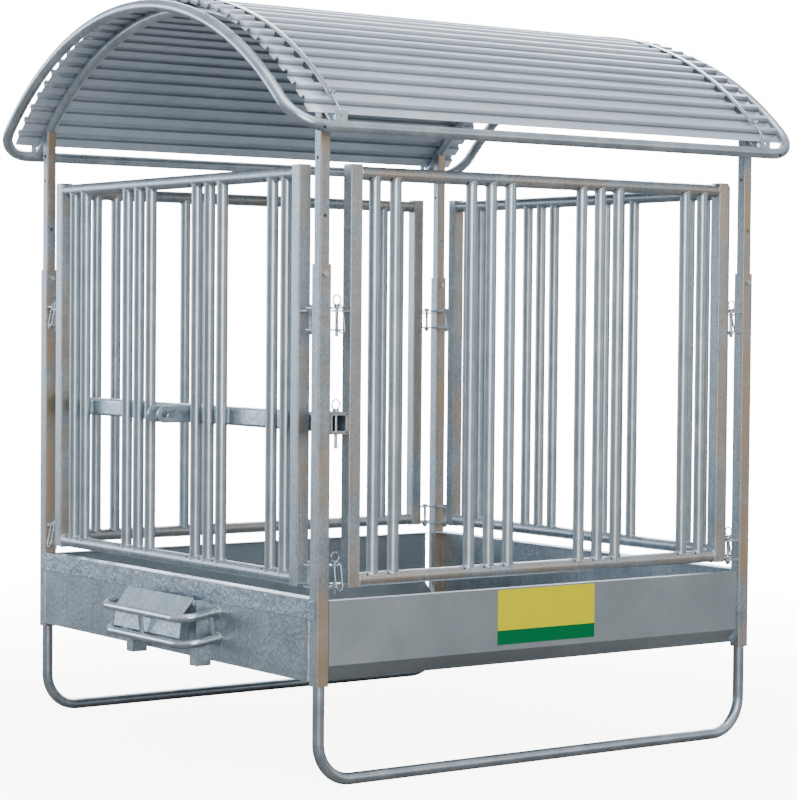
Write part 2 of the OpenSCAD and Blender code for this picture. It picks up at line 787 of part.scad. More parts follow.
fence_frame_on("back");  // fence_back_frame
fence_frame_on("left");  // fence_left_frame
fence_bars_on("front");  // fence_front_bars
fence_bars_on("right");  // fence_right_bars
fence_bars_on("back");  // fence_back_bars
fence_bars_on("left");  // fence_left_bars
lock_pin("front", true);  // lock_pin_front_upper
lock_pin("front", false);  // lock_pin_front_lower
lock_pin("right", true);  // lock_pin_right_upper
lock_pin("right", false);  // lock_pin_right_lower
lock_pin("back", true);  // lock_pin_back_upper
lock_pin("back", false);  // lock_pin_back_lower
lock_pin("left", true);  // lock_pin_left_upper
lock_pin("left", false);  // lock_pin_left_lower
roof_post("front_left");  // roof_post_front_left
roof_post("front_right");  // roof_post_front_right
roof_post("back_left");  // roof_post_back_left
roof_post("back_right");  // roof_post_back_right
roof_arch(-1);  // roof_arch_left
roof_arch(1);  // roof_arch_right
roof_gable(-1);  // roof_gable_left
roof_gable(1);  // roof_gable_right
roof_eave(-1);  // roof_eave_front
roof_eave(1);  // roof_eave_back
roof_sheet(2);  // roof_sheet_front
roof_sheet(1);  // roof_sheet_top
roof_sheet(0);  // roof_sheet_back
roof_strap(-1);  // roof_strap_left
roof_strap(1);  // roof_strap_right
strap_tensioners();
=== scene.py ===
import bpy
import numpy as np
from mathutils import Matrix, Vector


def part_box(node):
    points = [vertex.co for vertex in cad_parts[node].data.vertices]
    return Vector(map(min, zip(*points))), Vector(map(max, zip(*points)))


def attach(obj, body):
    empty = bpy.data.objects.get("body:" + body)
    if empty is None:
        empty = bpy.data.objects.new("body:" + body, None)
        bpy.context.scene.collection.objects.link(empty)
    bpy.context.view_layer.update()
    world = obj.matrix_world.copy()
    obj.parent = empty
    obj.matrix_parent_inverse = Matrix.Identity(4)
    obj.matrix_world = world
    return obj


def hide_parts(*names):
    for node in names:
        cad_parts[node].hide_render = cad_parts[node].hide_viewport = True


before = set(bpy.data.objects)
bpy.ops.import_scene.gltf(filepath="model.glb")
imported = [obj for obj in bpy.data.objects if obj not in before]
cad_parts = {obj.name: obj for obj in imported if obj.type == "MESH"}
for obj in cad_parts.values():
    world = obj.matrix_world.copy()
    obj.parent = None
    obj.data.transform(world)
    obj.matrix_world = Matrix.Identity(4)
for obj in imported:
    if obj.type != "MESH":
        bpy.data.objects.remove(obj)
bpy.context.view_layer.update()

# ---------------------------------------------------------------- stand, light and camera
# The feeder stands on a plain pale floor under a soft sky, with a broad lamp behind the camera and a
# stronger one high at the back right. The steel mirrors a grey yard and a dark hedge, so tubes show edges.
BACKDROP = 16.0  # strength of the white that the eye sees behind and under the feeder


def linear(code, alpha=1.0):
    """sRGB hex code to linear RGBA: c / 12.92 below 0.04045, else ((c + 0.055) / 1.055) ** 2.4."""
    c = np.array([int(code[i:i + 2], 16) for i in (1, 3, 5)]) / 255
    low = c / 12.92
    high = ((c + 0.055) / 1.055) ** 2.4
    return (*np.where(c <= 0.04045, low, high), alpha)


def add(tree, kind, links=None, **settings):
    """One node of that kind with its settings; links maps a socket to a value or to another socket. Sockets
    1 to 4 of a Map Range are its from and to limits, and 6 and 7 of a colour Mix are its two colours."""
    node = tree.nodes.new(kind)
    for key, value in settings.items():
        setattr(node, key, value)
    for socket, value in (links or {}).items():
        if isinstance(value, bpy.types.NodeSocket):
            tree.links.new(value, node.inputs[socket])
        else:
            node.inputs[socket].default_value = value
    return node


def blank(name):
    """A material with an empty node tree and its output node."""
    mat = bpy.data.materials.new(name)
    mat.use_nodes = True
    mat.node_tree.nodes.clear()
    return mat, mat.node_tree, add(mat.node_tree, "ShaderNodeOutputMaterial")


def make_floor():
    """A flat disc at z = 0, white to the eye, brighter towards its rim, and earth grey in what the steel
    mirrors."""
    radius, count = 40.0, 96
    turn = np.linspace(0, 2 * np.pi, count + 1)[:-1]
    rim = np.stack([radius * np.cos(turn), radius * np.sin(turn), 0 * turn], axis=1)
    mesh = bpy.data.meshes.new("floor")
    mesh.from_pydata(rim.tolist(), [], [list(range(count))])
    floor = bpy.data.objects.new("floor", mesh)
    bpy.context.collection.objects.link(floor)
    mat, tree, out = blank("pale_studio_floor")
    place = add(tree, "ShaderNodeTexCoord")
    reach = add(tree, "ShaderNodeVectorMath", {0: place.outputs["Object"]}, operation="LENGTH")
    far = add(tree, "ShaderNodeMapRange", {0: reach.outputs["Value"], 1: 1.5, 2: 5.5, 3: 0.5, 4: 1.0})
    pale = add(tree, "ShaderNodeBsdfDiffuse", {"Color": linear("#ffffff")})
    glow = add(tree, "ShaderNodeEmission", {"Color": linear("#ffffff"), "Strength": BACKDROP})
    seen = add(tree, "ShaderNodeMixShader", {0: far.outputs[0], 1: pale.outputs[0], 2: glow.outputs[0]})
    yard = add(tree, "ShaderNodeBsdfDiffuse", {"Color": linear("#7d7b79")})
    path = add(tree, "ShaderNodeLightPath")
    mix = add(tree, "ShaderNodeMixShader", {0: path.outputs["Is Camera Ray"],
                                            1: yard.outputs[0], 2: seen.outputs[0]})
    tree.links.new(mix.outputs[0], out.inputs["Surface"])
    mesh.materials.append(mat)


def make_sky():
    """A world that is near white to the eye, and a sky for the steel: bright above, grey at the horizon, and
    dark behind the feeder like a hedge, which gives round tubes their dark edges."""
    world = bpy.data.worlds.new("soft_sky")
    world.use_nodes = True
    bpy.context.scene.world = world
    tree = world.node_tree
    tree.nodes.clear()
    out = add(tree, "ShaderNodeOutputWorld")
    place = add(tree, "ShaderNodeTexCoord")
    split = add(tree, "ShaderNodeSeparateXYZ", {0: place.outputs["Generated"]})
    ramp = add(tree, "ShaderNodeValToRGB", {0: split.outputs["Z"]})
    stops = ramp.color_ramp.elements
    stops[0].position, stops[0].color = 0.0, linear("#86919c")
    stops[1].position, stops[1].color = 1.0, linear("#f2f7ff")
    for height, code in ((0.08, "#a6b6c6"), (0.30, "#cfdeee")):
        stops.new(height).color = linear(code)
    toward_back = (0.58, 0.81, 0.0)
    ahead = add(tree, "ShaderNodeVectorMath", {0: place.outputs["Generated"], 1: toward_back},
                operation="DOT_PRODUCT")
    behind = add(tree, "ShaderNodeMapRange", {0: ahead.outputs["Value"], 1: 0.45, 2: 0.85})
    low = add(tree, "ShaderNodeMapRange", {0: split.outputs["Z"], 1: 0.06, 2: 0.32, 3: 0.88, 4: 0.0})
    dark = add(tree, "ShaderNodeMath", {0: behind.outputs[0], 1: low.outputs[0]}, operation="MULTIPLY")
    hedge = add(tree, "ShaderNodeMix", {0: dark.outputs[0], 6: ramp.outputs[0], 7: linear("#1b2125")},
                data_type="RGBA")
    sky = add(tree, "ShaderNodeBackground", {"Color": hedge.outputs[2], "Strength": 0.95})
    eye = add(tree, "ShaderNodeBackground", {"Color": linear("#ffffff"), "Strength": BACKDROP})
    path = add(tree, "ShaderNodeLightPath")
    mix = add(tree, "ShaderNodeMixShader", {0: path.outputs["Is Camera Ray"],
                                            1: sky.outputs[0], 2: eye.outputs[0]})
    tree.links.new(mix.outputs[0], out.inputs["Surface"])


def make_lamp(name, place, aim, width, height, power, code):
    """An area lamp of that width and height at place that faces aim."""
    data = bpy.data.lights.new(name, "AREA")
    data.shape = "RECTANGLE"
    data.size = width
    data.size_y = height
    data.energy = power
    data.color = linear(code)[:3]
    lamp = bpy.data.objects.new(name, data)
    bpy.context.collection.objects.link(lamp)
    lamp.location = place
    back = np.subtract(place, aim).astype(float)
    back /= np.linalg.norm(back)
    side = np.cross((0, 0, 1), back)
    side /= np.linalg.norm(side)
    lamp.rotation_euler = matrix_of(side, np.cross(back, side), back).to_euler()


def matrix_of(x_axis, y_axis, z_axis):
    """The rotation whose columns are the three axes."""
    return Matrix(np.stack([x_axis, y_axis, z_axis], axis=1).tolist())


def make_camera():
    """A long lens, low and to the front left, turned by yaw, pitch and roll about its own place."""
    yaw, pitch, roll = np.radians((-35.67, -1.90, 0.49))
    look = np.array([-np.sin(yaw) * np.cos(pitch), np.cos(yaw) * np.cos(pitch), np.sin(pitch)])
    right = np.array([np.cos(yaw), np.sin(yaw), 0.0])
    up = np.cross(right, look)
    x_axis = right * np.cos(roll) + up * np.sin(roll)
    y_axis = -right * np.sin(roll) + up * np.cos(roll)
    data = bpy.data.cameras.new("camera")
    data.sensor_width = 36.0
    data.lens = 111.15
    data.shift_x = 0.0119
    data.shift_y = -0.0012
    data.clip_end = 200.0
    camera = bpy.data.objects.new("camera", data)
    bpy.context.collection.objects.link(camera)
    camera.location = (-5.793, -8.083, 1.642)
    camera.rotation_euler = matrix_of(x_axis, y_axis, -look).to_euler()
    bpy.context.scene.camera = camera


make_floor()
make_sky()
make_camera()
make_lamp("behind_camera", (-5.2, -10.0, 3.4), (0, 0, 1.2), 4.5, 6.0, 600, "#fdfeff")
make_lamp("right", (6.5, -9.5, 3.0), (0, 0, 1.2), 4.0, 5.0, 70, "#fffaf2")
make_lamp("back_left", (-6.5, 9.5, 3.0), (0, 0, 1.2), 5.0, 5.0, 330, "#e2eeff")
make_lamp("back_right", (7.5, 7.5, 6.5), (0, 0, 2.3), 9.0, 6.0, 1900, "#f1f7ff")
make_lamp("top", (-1.5, -3.0, 9.0), (0, 0, 1.5), 7.0, 7.0, 420, "#ffffff")

# ---------------------------------------------------------------- skids and corner posts
# Square tube posts with a round tube skid pushed up into each pair, welded and hot-dip galvanised.
# The zinc dries with a fine spangle, cloudy patches and runs down the uprights; a warm reflection is painted
# in patches on the faces that look to the front.


def zinc(name, dark, mid, light, painted_warm_reflection="#cba67c", painted_warm_reflection_share=0.0, spangle_mm=14, spangle=0.25, cloud=0.7,
         cloud_mm=110, streak=0.25, rough=0.42, patchy=0.05, grit=0.0, feather=0.0, metal=0.85):
    """Hot-dip galvanised steel: three tones picked by the sum of spangle cells, clouds and runs along Z, a
    warm reflection painted in patches on faces that look along -Y, and a bump of fine grit and slanting
    feathery waves."""
    mat, tree, out = blank(name)
    place = add(tree, "ShaderNodeTexCoord")
    cells = add(tree, "ShaderNodeTexVoronoi", {"Vector": place.outputs["Object"], "Scale": 1000 / spangle_mm})
    cell = add(tree, "ShaderNodeSeparateColor", {0: cells.outputs["Color"]})
    clouds = add(tree, "ShaderNodeTexNoise", {"Vector": place.outputs["Object"], "Scale": 1000 / cloud_mm,
                                              "Detail": 4.0, "Roughness": 0.55})
    tall = add(tree, "ShaderNodeMapping", {"Vector": place.outputs["Object"], "Scale": (70.0, 70.0, 2.5)})
    runs = add(tree, "ShaderNodeTexNoise", {"Vector": tall.outputs[0], "Scale": 1.0, "Detail": 3.0})
    a = add(tree, "ShaderNodeMath", {0: cell.outputs[0], 1: spangle}, operation="MULTIPLY")
    b = add(tree, "ShaderNodeMath", {0: clouds.outputs[0], 1: cloud, 2: a.outputs[0]},
            operation="MULTIPLY_ADD")
    c = add(tree, "ShaderNodeMath", {0: runs.outputs[0], 1: streak, 2: b.outputs[0]},
            operation="MULTIPLY_ADD")
    middle = 0.5 * (spangle + cloud + streak)
    tone = add(tree, "ShaderNodeMapRange", {0: c.outputs[0], 1: 0.55 * middle, 2: 1.45 * middle})
    ramp = add(tree, "ShaderNodeValToRGB", {0: tone.outputs[0]})
    stops = ramp.color_ramp.elements
    stops[0].position, stops[0].color = 0.0, linear(dark)
    stops[1].position, stops[1].color = 1.0, linear(light)
    stops.new(0.5).color = linear(mid)
    colour = ramp.outputs[0]
    # Painted warm reflection: a warm tint in noise patches on faces that look along -Y.
    if painted_warm_reflection_share:
        face = add(tree, "ShaderNodeSeparateXYZ", {0: place.outputs["Normal"]})
        front = add(tree, "ShaderNodeMath", {0: face.outputs["Y"], 1: -painted_warm_reflection_share}, operation="MULTIPLY",
                    use_clamp=True)
        film = add(tree, "ShaderNodeTexNoise", {"Vector": place.outputs["Object"], "Scale": 3.4,
                                                "Detail": 5.0})
        thick = add(tree, "ShaderNodeMapRange", {0: film.outputs[0], 1: 0.38, 2: 0.58})
        share = add(tree, "ShaderNodeMath", {0: front.outputs[0], 1: thick.outputs[0]}, operation="MULTIPLY")
        mix = add(tree, "ShaderNodeMix", {0: share.outputs[0], 6: colour, 7: linear(painted_warm_reflection)}, data_type="RGBA")
        colour = mix.outputs[2]
    dull = add(tree, "ShaderNodeMapRange", {0: clouds.outputs[0], 1: 0.3, 2: 0.7, 3: rough - patchy,
                                           4: rough + patchy})
    steel = add(tree, "ShaderNodeBsdfPrincipled", {
        "Base Color": colour, "Metallic": metal, "Roughness": dull.outputs[0]})
    if grit or feather:
        fine = add(tree, "ShaderNodeTexNoise", {"Vector": place.outputs["Object"], "Scale": 160.0,
                                                "Detail": 2.0})
        slant = add(tree, "ShaderNodeMapping", {"Vector": place.outputs["Object"],
                                                "Rotation": (0.9, 0.7, 0.8), "Scale": (22.0, 90.0, 60.0)})
        waves = add(tree, "ShaderNodeTexNoise", {"Vector": slant.outputs[0], "Scale": 1.0, "Detail": 3.0})
        low = add(tree, "ShaderNodeMath", {0: fine.outputs[0], 1: grit}, operation="MULTIPLY")
        lumps = add(tree, "ShaderNodeMath", {0: waves.outputs[0], 1: feather, 2: low.outputs[0]},
                    operation="MULTIPLY_ADD")
        bump = add(tree, "ShaderNodeBump", {"Height": lumps.outputs[0], "Strength": 1.0, "Distance": 0.001})
        tree.links.new(bump.outputs[0], steel.inputs["Normal"])
    tree.links.new(steel.outputs[0], out.inputs["Surface"])
    return mat


def dress(mat, *nodes):
    """Puts a finish on CAD nodes."""
    for name in nodes:
        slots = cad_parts[name].data.materials
        slots.clear()
        slots.append(mat)


CORNERS = ("front_left", "front_right", "back_left", "back_right")
SIDES = ("front", "right", "back", "left")
# The posts carry the painted warm reflection on their faces that look along -Y.
post_zinc = zinc("galvanised_square_tube", "#8d969b", "#a9b1b5", "#c6cccf", painted_warm_reflection_share=0.7, streak=0.35,
                 spangle_mm=7, spangle=0.3, rough=0.42, grit=0.05)
skid_zinc = zinc("galvanised_skid_tube", "#99a2a8", "#b0b8bd", "#c8cfd3", streak=0.1, spangle=0.1, rough=0.33)
dress(post_zinc, *[f"post_{c}" for c in CORNERS])
dress(skid_zinc, "skid_front", "skid_back")

# ---------------------------------------------------------------- shells of new pieces
# Every new piece is one or more closed shells, worked out as a grid of points. The first such pieces are
# the weld beads of the trough, so these makers stand before it; every later section uses them too.


def shell(grid, ring=False):
    """A closed shell from a grid (stations, points round, xyz): quads between stations, and a fan to the
    middle of each end, or a join of the last station to the first where ring is set."""
    rows, cols = grid.shape[:2]
    points = grid.reshape(-1, 3)
    i, j = np.meshgrid(np.arange(rows if ring else rows - 1), np.arange(cols), indexing="ij")
    nxt, rgt = (i + 1) % rows, (j + 1) % cols
    quads = np.stack([i * cols + j, i * cols + rgt, nxt * cols + rgt, nxt * cols + j], axis=-1).reshape(-1, 4)
    tris = np.zeros((0, 3), int)
    if not ring:
        ends = grid[[0, -1]].mean(axis=1)
        points = np.vstack([points, ends])
        k = np.arange(cols)
        near, far = (k + 1) % cols, (rows - 1) * cols
        first = np.stack([k, np.full(cols, rows * cols), near], axis=1)
        last = np.stack([far + k, far + near, np.full(cols, rows * cols + 1)], axis=1)
        tris = np.vstack([first, last])
    p = points[np.vstack([quads[:, [0, 1, 2]], quads[:, [0, 2, 3]], tris])]
    if np.einsum("ij,ij->", p[:, 0], np.cross(p[:, 1], p[:, 2])) < 0:
        quads, tris = quads[:, ::-1], tris[:, ::-1]
    return points, quads, tris


def piece(name, shells, mat, body, smooth=True):
    """One object of several shells, with its finish and its body."""
    points, faces, start = [], [], 0
    for p, quads, tris in shells:
        points.append(p)
        faces += (quads + start).tolist() + (tris + start).tolist()
        start += len(p)
    mesh = bpy.data.meshes.new(name)
    mesh.from_pydata(np.vstack(points).tolist(), [], faces)
    mesh.polygons.foreach_set("use_smooth", np.full(len(faces), smooth))
    mesh.materials.append(mat)
    made = bpy.data.objects.new(name, mesh)
    bpy.context.collection.objects.link(made)
    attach(made, body)
    return made


def rod(path, radius, side_way, closed=False, sides=12):
    """A round rod along a path: each station is a circle in the plane of side_way x tangent and tangent x
    that."""
    path = np.asarray(path, float)
    if closed:
        tangent = np.roll(path, -1, axis=0) - np.roll(path, 1, axis=0)
    else:
        tangent = np.gradient(path, axis=0)
    tangent /= np.linalg.norm(tangent, axis=1)[:, None]
    across = np.cross(np.broadcast_to(side_way, path.shape), tangent)
    across /= np.linalg.norm(across, axis=1)[:, None]
    other = np.cross(tangent, across)
    turn = np.linspace(0, 2 * np.pi, sides, endpoint=False)
    size = np.broadcast_to(radius, len(path))[:, None, None]
    turn = turn[:, None]
    grid = path[:, None] + size * (np.cos(turn) * across[:, None] + np.sin(turn) * other[:, None])
    return shell(grid, ring=closed)


def bead(path, radius, side_way, closed=False, seed=1):
    """A weld bead: a rod whose radius swells with each ripple of the weld pool and wanders a little."""
    path = np.asarray(path, float)
    step = np.linalg.norm(np.diff(path, axis=0), axis=1)
    run = np.concatenate([[0], np.cumsum(step)])
    pool, ripple, uneven = 0.006, 0.16, 0.12
    wander = np.random.default_rng(seed).uniform(-uneven, uneven, len(path))
    swell = 1 + ripple * np.sin(2 * np.pi * run / pool) + wander
    return rod(path, radius * swell, side_way, closed, sides=8)


def eased(node, mat, body, width=0.0012):
    """A copy of a CAD node, merged, with its hard edges rounded over; it stands for the node."""
    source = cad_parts[node]
    made = bpy.data.objects.new(node + "_eased", source.data.copy())
    bpy.context.collection.objects.link(made)
    made.data.materials.clear()
    made.data.materials.append(mat)
    weld = made.modifiers.new("merge", "WELD")
    weld.merge_threshold = 0.00002
    bevel = made.modifiers.new("ease", "BEVEL")
    bevel.width = width
    bevel.segments = 2
    bevel.limit_method = "ANGLE"
    bevel.angle_limit = np.radians(35)
    bevel.harden_normals = False
    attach(made, body)
    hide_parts(node)
    return made


def turned(shells, quarter, out):
    """Shells made for a fence along X at y = 0, turned by quarters about Z and set out from the middle."""
    c, s = [(1, 0), (0, 1), (-1, 0), (0, -1)][quarter]
    made = []
    for p, quads, tris in shells:
        x, y = p[:, 0], p[:, 1] - out
        made.append((np.stack([c * x - s * y, s * x + c * y, p[:, 2]], axis=1), quads, tris))
    return made


def circle(middle, radius, u, v, count=24):
    """Points of a circle about middle in the plane of u and v."""
    t = np.linspace(0, 2 * np.pi, count, endpoint=False)[:, None]
    return np.array(middle) + radius * (np.cos(t) * np.array(u, float) + np.sin(t) * np.array(v, float))


def disc(place, away, flat, radius, proud):
    """A flat round plug in a tube's wall: place + radius (cos t X + sin t flat), from 0.8 mm below to
    proud above it along away."""
    sunk = 0.0008
    rim = circle(place, radius, (1, 0, 0), flat, 16)
    return shell(np.stack([rim - sunk * away, rim + proud * away]))


def vertices(node):
    """A CAD node's vertices as an array."""
    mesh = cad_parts[node].data
    flat = np.empty(3 * len(mesh.vertices))
    mesh.vertices.foreach_get("co", flat)
    return flat.reshape(-1, 3)


# ---------------------------------------------------------------- trough
# Folded sheet walls and a floor, welded together and galvanised: the long walls are smooth and dull, the
# end walls carry coarse crystals and runs, and the floor faint feathery ones.
trough_zinc = zinc("galvanised_trough_sheet", "#979da0", "#a0a6a9", "#abb1b4", spangle_mm=30, streak=0.1,
                   spangle=0.05, cloud_mm=300, rough=0.5, metal=0.7)
floor_zinc = zinc("galvanised_trough_floor", "#8b969e", "#9eabb5", "#b4bfc7", spangle_mm=25, streak=0.0,
                  spangle=0.1, rough=0.42, feather=0.2)
wall_zinc = zinc("galvanised_end_wall", "#8f989e", "#a3acb2", "#bcc5ca", spangle_mm=16, spangle=0.2,
                 streak=0.5, cloud_mm=160, rough=0.38, feather=1.8, metal=0.85)
dress(trough_zinc, "trough_front", "trough_back")
dress(wall_zinc, "trough_left", "trough_right")
dress(floor_zinc, "trough_floor")
weld_zinc = zinc("zinc_on_welds", "#b9c0c4", "#d4dadd", "#f2f5f6", spangle_mm=4, streak=0.0, rough=0.3)


def trough_seams():
    """Weld beads up the inner corners of the left wall: y wanders by 1.2 mm x sin(60 z + seed)."""
    low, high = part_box("trough_left")
    foot, rim_gap, step = 0.004, 0.07, 0.002
    shells = []
    for y, seed in ((low[1], 3), (high[1], 4)):
        z = np.arange(low[2] + foot, high[2] - rim_gap, step)
        wander = 0.0012 * np.sin(60 * z + seed)
        path = np.stack([np.full_like(z, low[0] - 0.0005), y + wander, z], axis=1)
        shells.append(bead(path, 0.0032, (1, 0, 0), seed=seed))
    return shells


piece("trough_seams", trough_seams(), weld_zinc, "feeder")

# ---------------------------------------------------------------- rim angles
# Steel angles that stiffen the end walls. They were dipped with a rough coat: coarse, feathery zinc
# crystals and thick runs show on the outer leg.
angle_zinc = zinc("galvanised_rim_angle", "#9ba8b0", "#b5c0c8", "#d0d9df", spangle_mm=11, streak=0.1,
                  spangle=0.3, cloud_mm=40, rough=0.30, feather=3.0)
for side in ("left", "right"):
    eased(f"rim_angle_{side}", angle_zinc, "feeder", width=0.0016)

# ---------------------------------------------------------------- name plate
# A printed film on the front wall: plain yellow above a plain green band that takes a quarter of its
# height. It is flat and glossy, with a faint orange-peel surface.
plate_low, plate_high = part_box("name_plate")


def printed_film():
    """Gloss film: green where z < low + 0.26 x height, yellow above, with a faint orange-peel bump."""
    mat, tree, out = blank("printed_gloss_film")
    place = add(tree, "ShaderNodeTexCoord")
    split = add(tree, "ShaderNodeSeparateXYZ", {0: place.outputs["Object"]})
    band = 0.26
    edge = plate_low[2] + band * (plate_high[2] - plate_low[2])
    above = add(tree, "ShaderNodeMath", {0: split.outputs["Z"], 1: edge}, operation="GREATER_THAN")
    tint = add(tree, "ShaderNodeTexNoise", {"Vector": place.outputs["Object"], "Scale": 14.0, "Detail": 3.0})
    soft = add(tree, "ShaderNodeMapRange", {0: tint.outputs[0], 3: 0.93, 4: 1.0})
    mix = add(tree, "ShaderNodeMix", {0: above.outputs[0], 6: linear("#00713f"), 7: linear("#e6d900")},
              data_type="RGBA")
    shade = add(tree, "ShaderNodeVectorMath", {0: mix.outputs[2], "Scale": soft.outputs[0]},
                operation="SCALE")
    peel = add(tree, "ShaderNodeTexNoise", {"Vector": place.outputs["Object"], "Scale": 500.0})
    bump = add(tree, "ShaderNodeBump", {"Height": peel.outputs[0], "Strength": 0.03, "Distance": 0.001})
    film = add(tree, "ShaderNodeBsdfPrincipled", {
        "Base Color": shade.outputs[0], "Metallic": 0.0, "Roughness": 0.5, "Specular IOR Level": 0.08,
        "Normal": bump.outputs[0]})
    tree.links.new(film.outputs[0], out.inputs["Surface"])
    return mat


dress(printed_film(), "name_plate")

# ---------------------------------------------------------------- tractor hitch
# A double tube guard with short ties, a bent deflector plate and two channel cheeks, all welded to the
# left wall. The guard is bright and smooth, and the plates show coarse zinc.
GUARD_TOP = 0.558  # height of the upper guard tube's middle
GUARD_DROP = 0.097 * np.cos(np.radians(9))  # down to the lower tube's middle: 97 mm on a 9 degree slope
guard_zinc = zinc("galvanised_guard_tube", "#aab3b8", "#c2cacf", "#dde3e7", streak=0.0, spangle=0.05,
                  cloud_mm=60, rough=0.25)
plate_zinc = zinc("galvanised_plate", "#a4afb6", "#bac5cc", "#d2dbe0", streak=0.1, cloud_mm=50, rough=0.34,
                  feather=2.0)
dress(guard_zinc, "hitch_guard")
eased("hitch_deflector", plate_zinc, "feeder", width=0.001)
eased("hitch_cheeks", plate_zinc, "feeder", width=0.002)


def hitch_welds():
    """Beads round the four ends of the guard tubes: circles of R + 1.2 mm in the wall's plane."""
    low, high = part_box("hitch_guard")
    tube, beside, off_wall, size = 0.015, 0.0012, 0.001, 0.0030
    shells = []
    for y in (low[1] + tube, high[1] - tube):
        for z in (GUARD_TOP, GUARD_TOP - GUARD_DROP):
            ring = circle((high[0] - off_wall, y, z), tube + beside, (0, 1, 0), (0, 0, 1), 40)
            shells.append(bead(ring, size, (1, 0, 0), closed=True, seed=int(1000 * abs(z))))
    return shells


piece("hitch_welds", hitch_welds(), weld_zinc, "feeder")

# ---------------------------------------------------------------- top-link bar
# A thick rounded bar lies through two square sleeves on the left posts. Two drilled plates on it take the
# tractor's top link.
dress(post_zinc, "bar_sleeves")
dress(plate_zinc, "top_link_bar")
eased("top_link_plates", plate_zinc, "feeder", width=0.0015)

# ---------------------------------------------------------------- tabs, hinge bolts and clamp bolts
# Flat drilled tabs are welded to the posts and galvanised with them. The hexagon bolts and nuts are zinc
# plated and a little brighter.
bolt_zinc = zinc("zinc_plated_bolts", "#a8b0b4", "#c0c8cc", "#dee4e7", spangle_mm=5, streak=0.0, spangle=0.1,
                 rough=0.28, metal=0.95)
for corner in CORNERS:
    eased(f"tabs_{corner}", plate_zinc, "feeder", width=0.001)


def tab_welds():
    """A bead over and under each tab along its root on the post: straight runs 38 mm long."""
    half_run, step, proud, half_tab, size = 0.019, 0.0012, 0.0004, 0.0036, 0.0021
    heights = (1.672, 1.596, 0.776, 0.700)
    shells = []
    for n, corner in enumerate(CORNERS):
        low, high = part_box(f"post_{corner}")
        middle = 0.5 * (np.array(low) + high)
        x, y = middle[:2] - np.sign(middle[:2]) * (0.5 * (high[0] - low[0]) + proud)
        run = np.arange(-half_run, half_run + 0.0001, step)
        for k, z in enumerate(heights):
            for lift in (-half_tab, half_tab):
                level = np.full_like(run, z + lift)
                on_x = np.stack([np.full_like(run, x), middle[1] + run, level], axis=1)
                on_y = np.stack([middle[0] + run, np.full_like(run, y), level], axis=1)
                shells.append(bead(on_x, size, (1, 0, 0), seed=40 * n + k))
                shells.append(bead(on_y, size, (0, 1, 0), seed=40 * n + k + 7))
    return shells


piece("tab_welds", tab_welds(), weld_zinc, "feeder")
eased("hinge_bolts", bolt_zinc, "feeder", width=0.0008)
eased("clamp_bolts", bolt_zinc, "feeder", width=0.001)

# ---------------------------------------------------------------- feed fences
# Square stiles, round rails and smooth round bars. Each bar is cut to fit the rails and welded all round,
# and a small hole beside each bar's end lets the zinc drain; each hole is a disc of painted shade. All sizes
# below are those of one fence.
bar_zinc = zinc("galvanised_fence_bar", "#b1babe", "#bec6ca", "#ccd3d6", streak=0.0, rough=0.36,
                spangle_mm=18, spangle=0.0, cloud_mm=90, patchy=0.015, metal=0.92)
# The stiles carry the painted warm reflection on their faces that look along -Y.
stile_zinc = zinc("galvanised_fence_frame", "#949ca1", "#adb5ba", "#cbd1d5", painted_warm_reflection_share=0.45, streak=0.3,
                  spangle_mm=7, rough=0.38, grit=0.05)
post_y = -0.5 * (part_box("post_front_left")[0][1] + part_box("post_front_left")[1][1])
bar_low, bar_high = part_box("fence_front_bars")
frame_low, frame_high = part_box("fence_front_frame")
bar_r = 0.5 * (bar_high[1] - bar_low[1])
rail_r = 0.02415
stile = 0.050
hook_reach = 0.060
rail_drop = 0.030
rail_low = frame_low[2] + rail_r
rail_high = frame_high[2] - rail_drop


def bar_middles():
    """The bars' places along the fence: the middles of the runs of vertices between wide gaps."""
    x = np.sort(vertices("fence_front_bars")[:, 0])
    runs = np.split(x, np.flatnonzero(np.diff(x) > 0.01) + 1)
    return [0.5 * (run[0] + run[-1]) for run in runs]


def fence_welds(seed):
    """A bead round each bar where it meets a rail: x = R cos a, y = R sin a, z off the rail's middle by
    sqrt(Rr^2 - y^2); and beads round both sides of each rail's end against its stile."""
    count, beside, proud, size, rail_size = 48, 0.0010, 0.0008, 0.0027, 0.0026
    shells = []
    turn = np.linspace(0, 2 * np.pi, count, endpoint=False)
    reach = bar_r + beside
    for n, x in enumerate(bar_middles()):
        for k, (z, up) in enumerate(((rail_low, 1), (rail_high, -1))):
            y = reach * np.sin(turn)
            height = z + up * (np.sqrt(rail_r ** 2 - y ** 2) + proud)
            path = np.stack([x + reach * np.cos(turn), y, height], axis=1)
            shells.append(bead(path, size, (0, 0, 1), closed=True, seed=seed + 20 * k + n))
    inner = frame_high[0] - hook_reach - stile
    for side in (-1, 1):
        for k, z in enumerate((rail_low, rail_high)):
            path = circle((side * (inner - 0.0005), 0, z), rail_r + proud, (0, 1, 0), (0, 0, 1), count)
            shells.append(bead(path, rail_size, (1, 0, 0), closed=True, seed=seed + 50 + k))
    return shells


def vent_holes():
    """Dark discs of painted shade for the drain holes, 31 mm beside each bar's end and 42 degrees up the
    rails' fronts.
    """
    beside, lean, sunk = 0.031, np.radians(42), 0.0006
    shells = []
    for x in bar_middles():
        for z, up in ((rail_low, 1), (rail_high, -1)):
            away = np.array([0, -np.cos(lean), up * np.sin(lean)])
            flat = np.array([0, up * np.sin(lean), np.cos(lean)])
            place = np.array([x - beside, 0, z]) + (rail_r - sunk) * away
            shells.append(disc(place, away, flat, 0.0042, 0.0009))
    return shells


